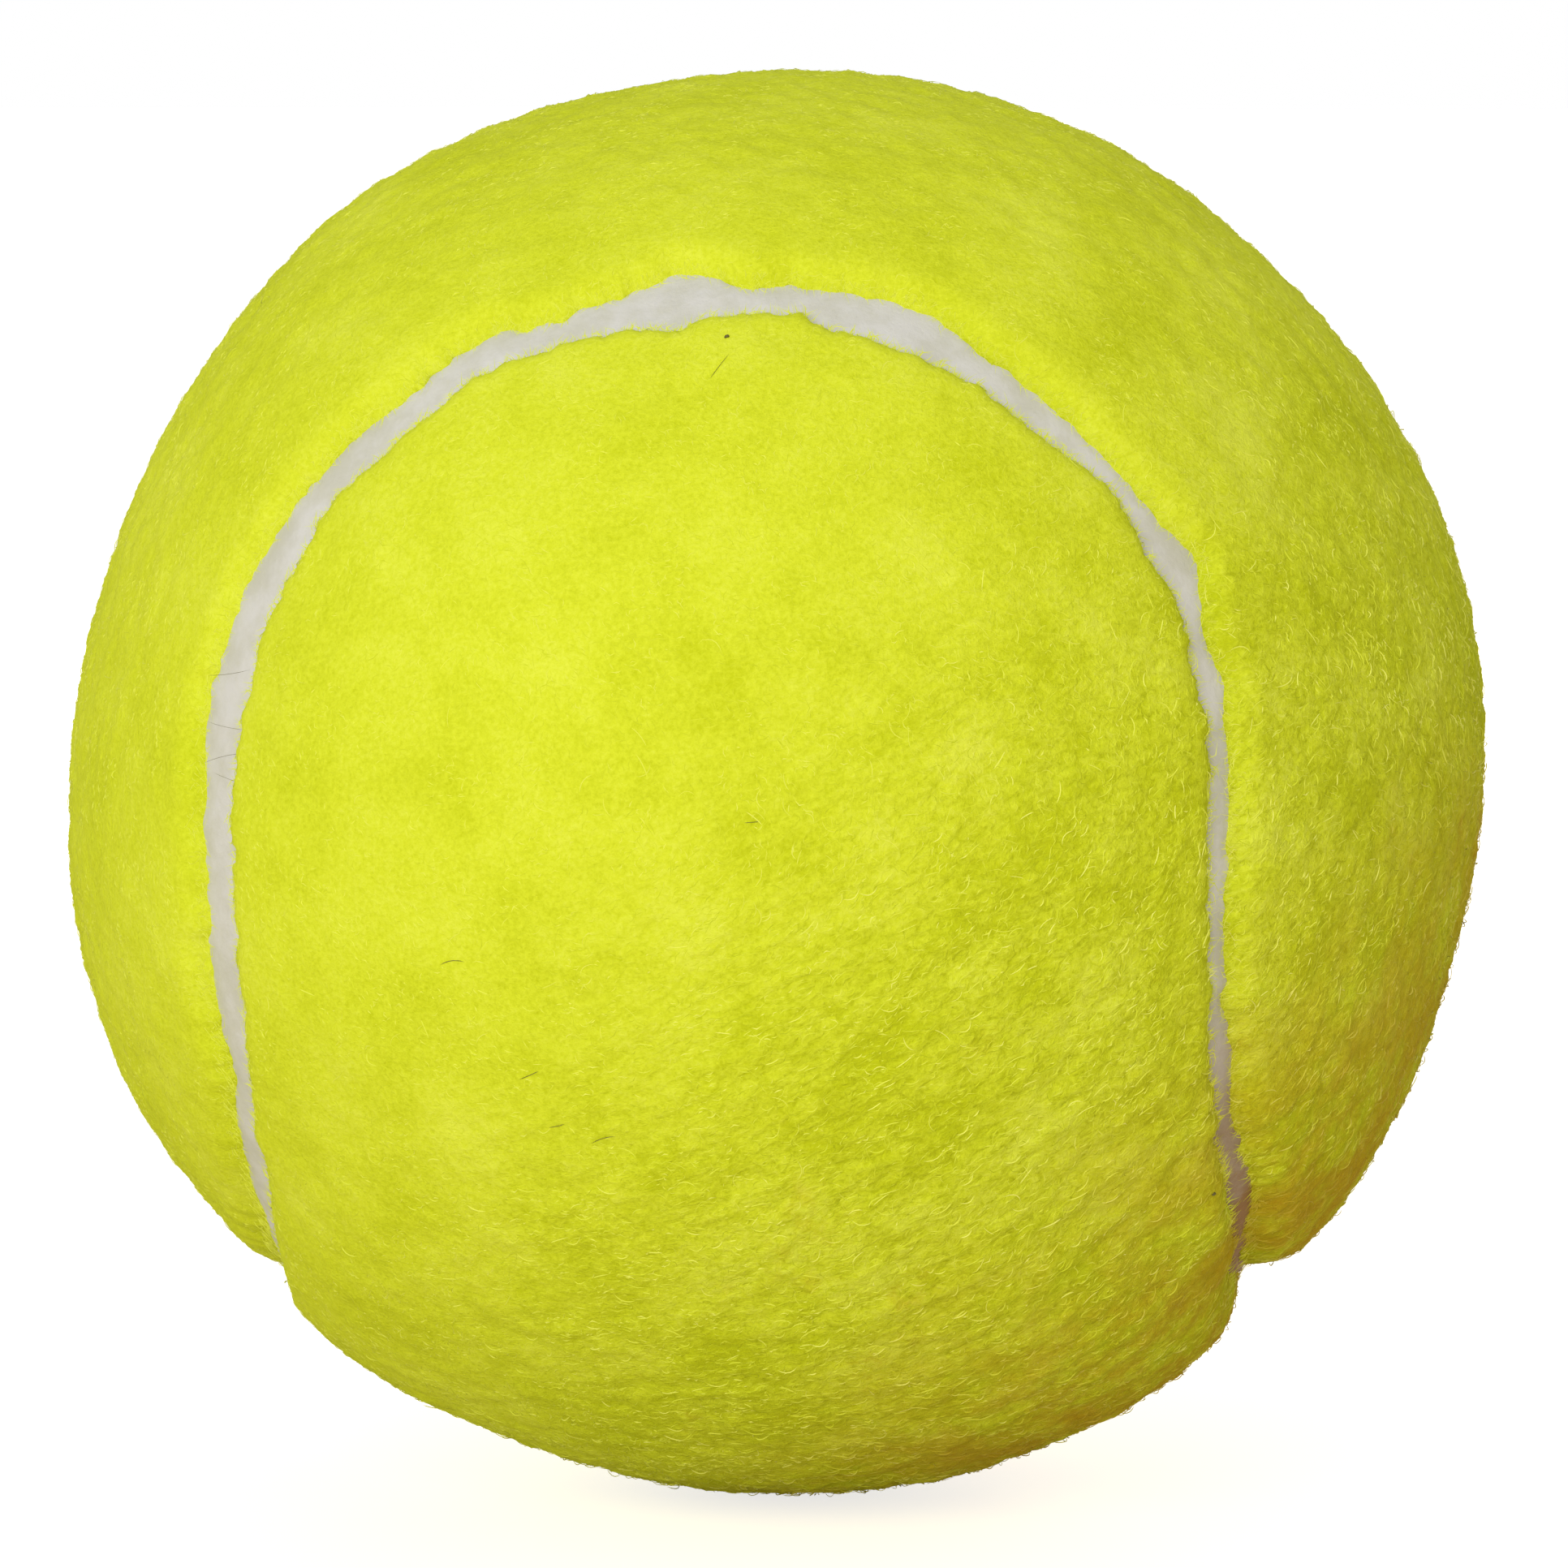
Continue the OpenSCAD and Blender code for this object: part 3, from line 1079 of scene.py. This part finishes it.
matted_fibre = build_fibre_material("matted fibre", MATTED_DEEP, MATTED_MID, MATTED_PALE)
# The bright fibres are paler than the matted ones: partly their own tone and partly painted glint.
pale_glinting_fibre = build_fibre_material("pale fibre with painted glint", BRIGHT_DEEP, BRIGHT_MID, BRIGHT_PALE)
for which, seed in (("top", 11), ("bottom", 21)):
    panel = panels[which]
    fuzz = [
        grow_fibres(
            f"{which}_panel_matted_fibres_{k}",
            panel,
            count=28000,
            seed=seed + k,
            rings=1,
            length=(0.3 * MM, 1.0 * MM),
            width=(0.025 * MM, 0.050 * MM),
            lift=(0.0, 0.08 * MM),
            curl=(0.0, 0.25),
            material=matted_fibre,
        )
        for k in (1, 2)
    ]
    fuzz.append(
        grow_fibres(
            f"{which}_panel_flecks",
            panel,
            count=34000,
            seed=seed + 5,
            rings=1,
            length=(0.15 * MM, 0.60 * MM),
            width=(0.040 * MM, 0.085 * MM),
            lift=(0.01 * MM, 0.08 * MM),
            curl=(0.0, 0.3),
            material=pale_glinting_fibre,
            tufted=True,
        )
    )
    fuzz.append(
        grow_fibres(
            f"{which}_panel_loose_fibres",
            panel,
            count=7000,
            seed=seed + 7,
            rings=4,
            length=(0.3 * MM, 1.1 * MM),
            width=(0.030 * MM, 0.062 * MM),
            lift=(0.02 * MM, 0.24 * MM),
            curl=(0.02, 0.30),
            material=pale_glinting_fibre,
            even=0.02,
        )
    )
    fuzz.append(
        edge_fibres(
            f"{which}_panel_edge_fibres",
            panel,
            count=13000,
            seed=seed + 9,
            rings=1,
            length=(0.35 * MM, 1.30 * MM),
            width=(0.025 * MM, 0.055 * MM),
            lift=(0.0, 0.12 * MM),
            curl=(0.0, 0.3),
            material=pale_glinting_fibre,
        )
    )


# Stray hairs

# A few dark hairs and specks that the felt has picked up in use lie caught in the nap, and some
# hairs lie across the seam.

# Each row is a hair's place across and up, seen from the front, how far it is turned, in degrees,
# and its length and width. The lengths are in mm.
CAUGHT_HAIRS = (
    (-10.9, -5.5, 10, 1.3, 0.035),
    (-7.5, -10.4, 25, 1.1, 0.035),
    (-6.4, -12.7, 15, 0.9, 0.030),
    (-4.3, -13.3, 20, 1.2, 0.035),
    (2.6, 1.1, 5, 0.8, 0.030),
    (0.4, 20.7, 60, 1.6, 0.025),
    (0.6, 22.0, 20, 0.25, 0.220),
    (22.1, -17.1, 40, 0.22, 0.160),
    (-22.6, 6.8, 8, 3.2, 0.020),
    (-22.6, 4.4, -4, 3.0, 0.016),
    (-22.7, 2.9, 12, 3.3, 0.020),
    (-22.1, 2.0, -8, 3.4, 0.018),
)
CAUGHT_LIFT = 0.03 * MM
DEEPEST_HAIR = -0.9 * MM
HAIR_DARK = (0.075, 0.060, 0.012, 1)
HAIR_BROWN = (0.19, 0.17, 0.03, 1)


def lay_caught_hairs():
    """All the dark hairs, each laid on the felt and bent round the ball."""
    rng = np.random.default_rng(31)
    across, up_by, turn, length, width = np.array(CAUGHT_HAIRS).T
    front = np.stack(
        [across, -np.sqrt((ball_radius / MM) ** 2 - across**2 - up_by**2), up_by], 1
    )
    # The other sides have caught as many.
    spare = unit(rng.normal(0, 1, (30, 3)))
    spare = spare[spare[:, 1] > -0.3]
    away = np.vstack([unit(front), spare])
    length = np.concatenate([length, rng.uniform(0.7, 1.8, len(spare))])
    width = np.concatenate([width, rng.uniform(0.025, 0.04, len(spare))])
    turn = np.radians(np.concatenate([turn, rng.uniform(0, 180, len(spare))]))
    rise = np.maximum(felt_rise(away * ball_radius), DEEPEST_HAIR)
    level = unit(np.cross((0, 0, 1.0), away))
    way = level * np.cos(turn)[:, None] + np.cross(away, level) * np.sin(turn)[:, None]
    shape, faces = fibre_shape(4)
    bm = bmesh.new()
    for place, ahead, high, long, wide, bend in zip(
        away, way, rise, length * MM, width * MM, rng.uniform(-0.12, 0.12, len(away))
    ):
        side = np.cross(place, ahead)
        middle = place * (ball_radius + high + CAUGHT_LIFT)
        h = shape[:, 2:]
        points = (
            middle
            + ahead * long * (h - 0.5)
            + side * (wide * shape[:, :1] + bend * long * 4 * h * (1 - h))
            + place * (wide * shape[:, 1:2] - long * long * (h - 0.5) ** 2 / 2 / ball_radius)
        )
        verts = [bm.verts.new(point) for point in points]
        for face in faces:
            bm.faces.new([verts[k] for k in face])
    return bm


def build_dark_hair():
    made, tree, shader = blank_material("dark stray hair", Roughness=0.6)
    shade = add_noise(tree, add_object_place(tree), 900, detail=2)
    colour = add_ramp(tree, shade, (0.3, HAIR_DARK), (0.7, HAIR_BROWN))
    tree.links.new(colour, shader.inputs["Base Color"])
    return made


finish_piece("caught_hairs", lay_caught_hairs(), build_dark_hair())


# Floor, light and camera

# The ball stands on a pale floor in a white room. A large soft lamp lights its front from the
# photograph's side, a fainter one its back, and a small warm one its low right.

WHITE = (1, 1, 1, 1)
FLOOR_REACH = 6
# The uneven nap reaches a little lower than the even ball.
FLOOR_DROP = 0.4 * MM
FLOOR_PALE = (0.80, 0.70, 0.50, 1)
FLOOR_LIFT = 0.72
ROOM_LIGHT = 0.54
LAMP_WHITE = (1, 0.99, 0.97)
LAMP_WARM = (1, 0.62, 0.30)
# The photograph's width and height, and where the ball's middle is in it, in pixels.
PHOTO_SIZE = 1932
BALL_PIXEL = (955, 960)
CAMERA_LENS = 196.1
CAMERA_DISTANCE = 12 * ball_radius
CAMERA_DIRECTION = Vector((0.108, -0.990, 0.089)).normalized()


def add_seen(tree):
    """1 for what the camera, gloss and glass see, and 0 for the light on the ball."""
    path = add_node(tree, "ShaderNodeLightPath").outputs
    seen = add_math(tree, "MAXIMUM", path["Is Camera Ray"], path["Is Glossy Ray"])
    return add_math(tree, "MAXIMUM", seen, path["Is Transmission Ray"])


def build_floor():
    bm = bmesh.new()
    bmesh.ops.create_grid(bm, x_segments=1, y_segments=1, size=FLOOR_REACH)
    bmesh.ops.translate(bm, verts=bm.verts, vec=(0, 0, -ball_radius - FLOOR_DROP))
    mesh = bpy.data.meshes.new("floor")
    bm.to_mesh(mesh)
    bm.free()
    made, tree, shader = blank_material(
        "pale floor", Roughness=0.9, Base_Color=FLOOR_PALE, Emission_Color=WHITE
    )
    # What is seen of the floor is lifted to white, and the shadow stays.
    lifted = add_math(tree, "MULTIPLY", add_seen(tree), FLOOR_LIFT)
    tree.links.new(lifted, shader.inputs["Emission Strength"])
    mesh.materials.append(made)
    floor = bpy.data.objects.new("floor", mesh)
    bpy.context.scene.collection.objects.link(floor)


build_floor()


def build_world():
    world = bpy.data.worlds.new("studio")
    bpy.context.scene.world = world
    world.use_nodes = True
    tree = world.node_tree
    tree.nodes.clear()
    seen = add_seen(tree)
    room = add_node(tree, "ShaderNodeBackground", {"Color": WHITE, "Strength": ROOM_LIGHT})
    white = add_node(tree, "ShaderNodeBackground", {"Color": WHITE, "Strength": 1})
    mix = add_node(tree, "ShaderNodeMixShader", {"Fac": seen})
    tree.links.new(room.outputs[0], mix.inputs[1])
    tree.links.new(white.outputs[0], mix.inputs[2])
    output = add_node(tree, "ShaderNodeOutputWorld")
    tree.links.new(mix.outputs[0], output.inputs["Surface"])


build_world()


def add_lamp(name, place, size, power, colour):
    """Adds a round lamp that points at the ball."""
    lamp = bpy.data.lights.new(name, "AREA")
    lamp.shape = "DISK"
    lamp.size = size
    lamp.energy = power
    lamp.color = colour
    made = bpy.data.objects.new(name, lamp)
    made.location = place
    made.rotation_euler = (-Vector(place)).to_track_quat("-Z", "Y").to_euler()
    bpy.context.scene.collection.objects.link(made)


add_lamp("key lamp", (-0.09, -0.50, 0.13), size=0.34, power=1.54, colour=LAMP_WHITE)
add_lamp("back lamp", (0.05, 0.55, 0.05), size=0.34, power=0.90, colour=LAMP_WHITE)
add_lamp("warm lamp", (0.42, -0.22, -0.02), size=0.20, power=0.12, colour=LAMP_WARM)

camera_data = bpy.data.cameras.new("camera")
camera_data.sensor_width = 36
camera_data.lens = CAMERA_LENS
camera = bpy.data.objects.new("camera", camera_data)
bpy.context.scene.collection.objects.link(camera)
camera.location = CAMERA_DIRECTION * CAMERA_DISTANCE
camera.rotation_euler = (-CAMERA_DIRECTION).to_track_quat("-Z", "Y").to_euler()
camera_data.shift_x = (PHOTO_SIZE / 2 - BALL_PIXEL[0]) / PHOTO_SIZE
camera_data.shift_y = (BALL_PIXEL[1] - PHOTO_SIZE / 2) / PHOTO_SIZE
camera_data.clip_start = 0.01
bpy.context.scene.camera = camera
bpy.context.scene.view_settings.view_transform = "Standard"
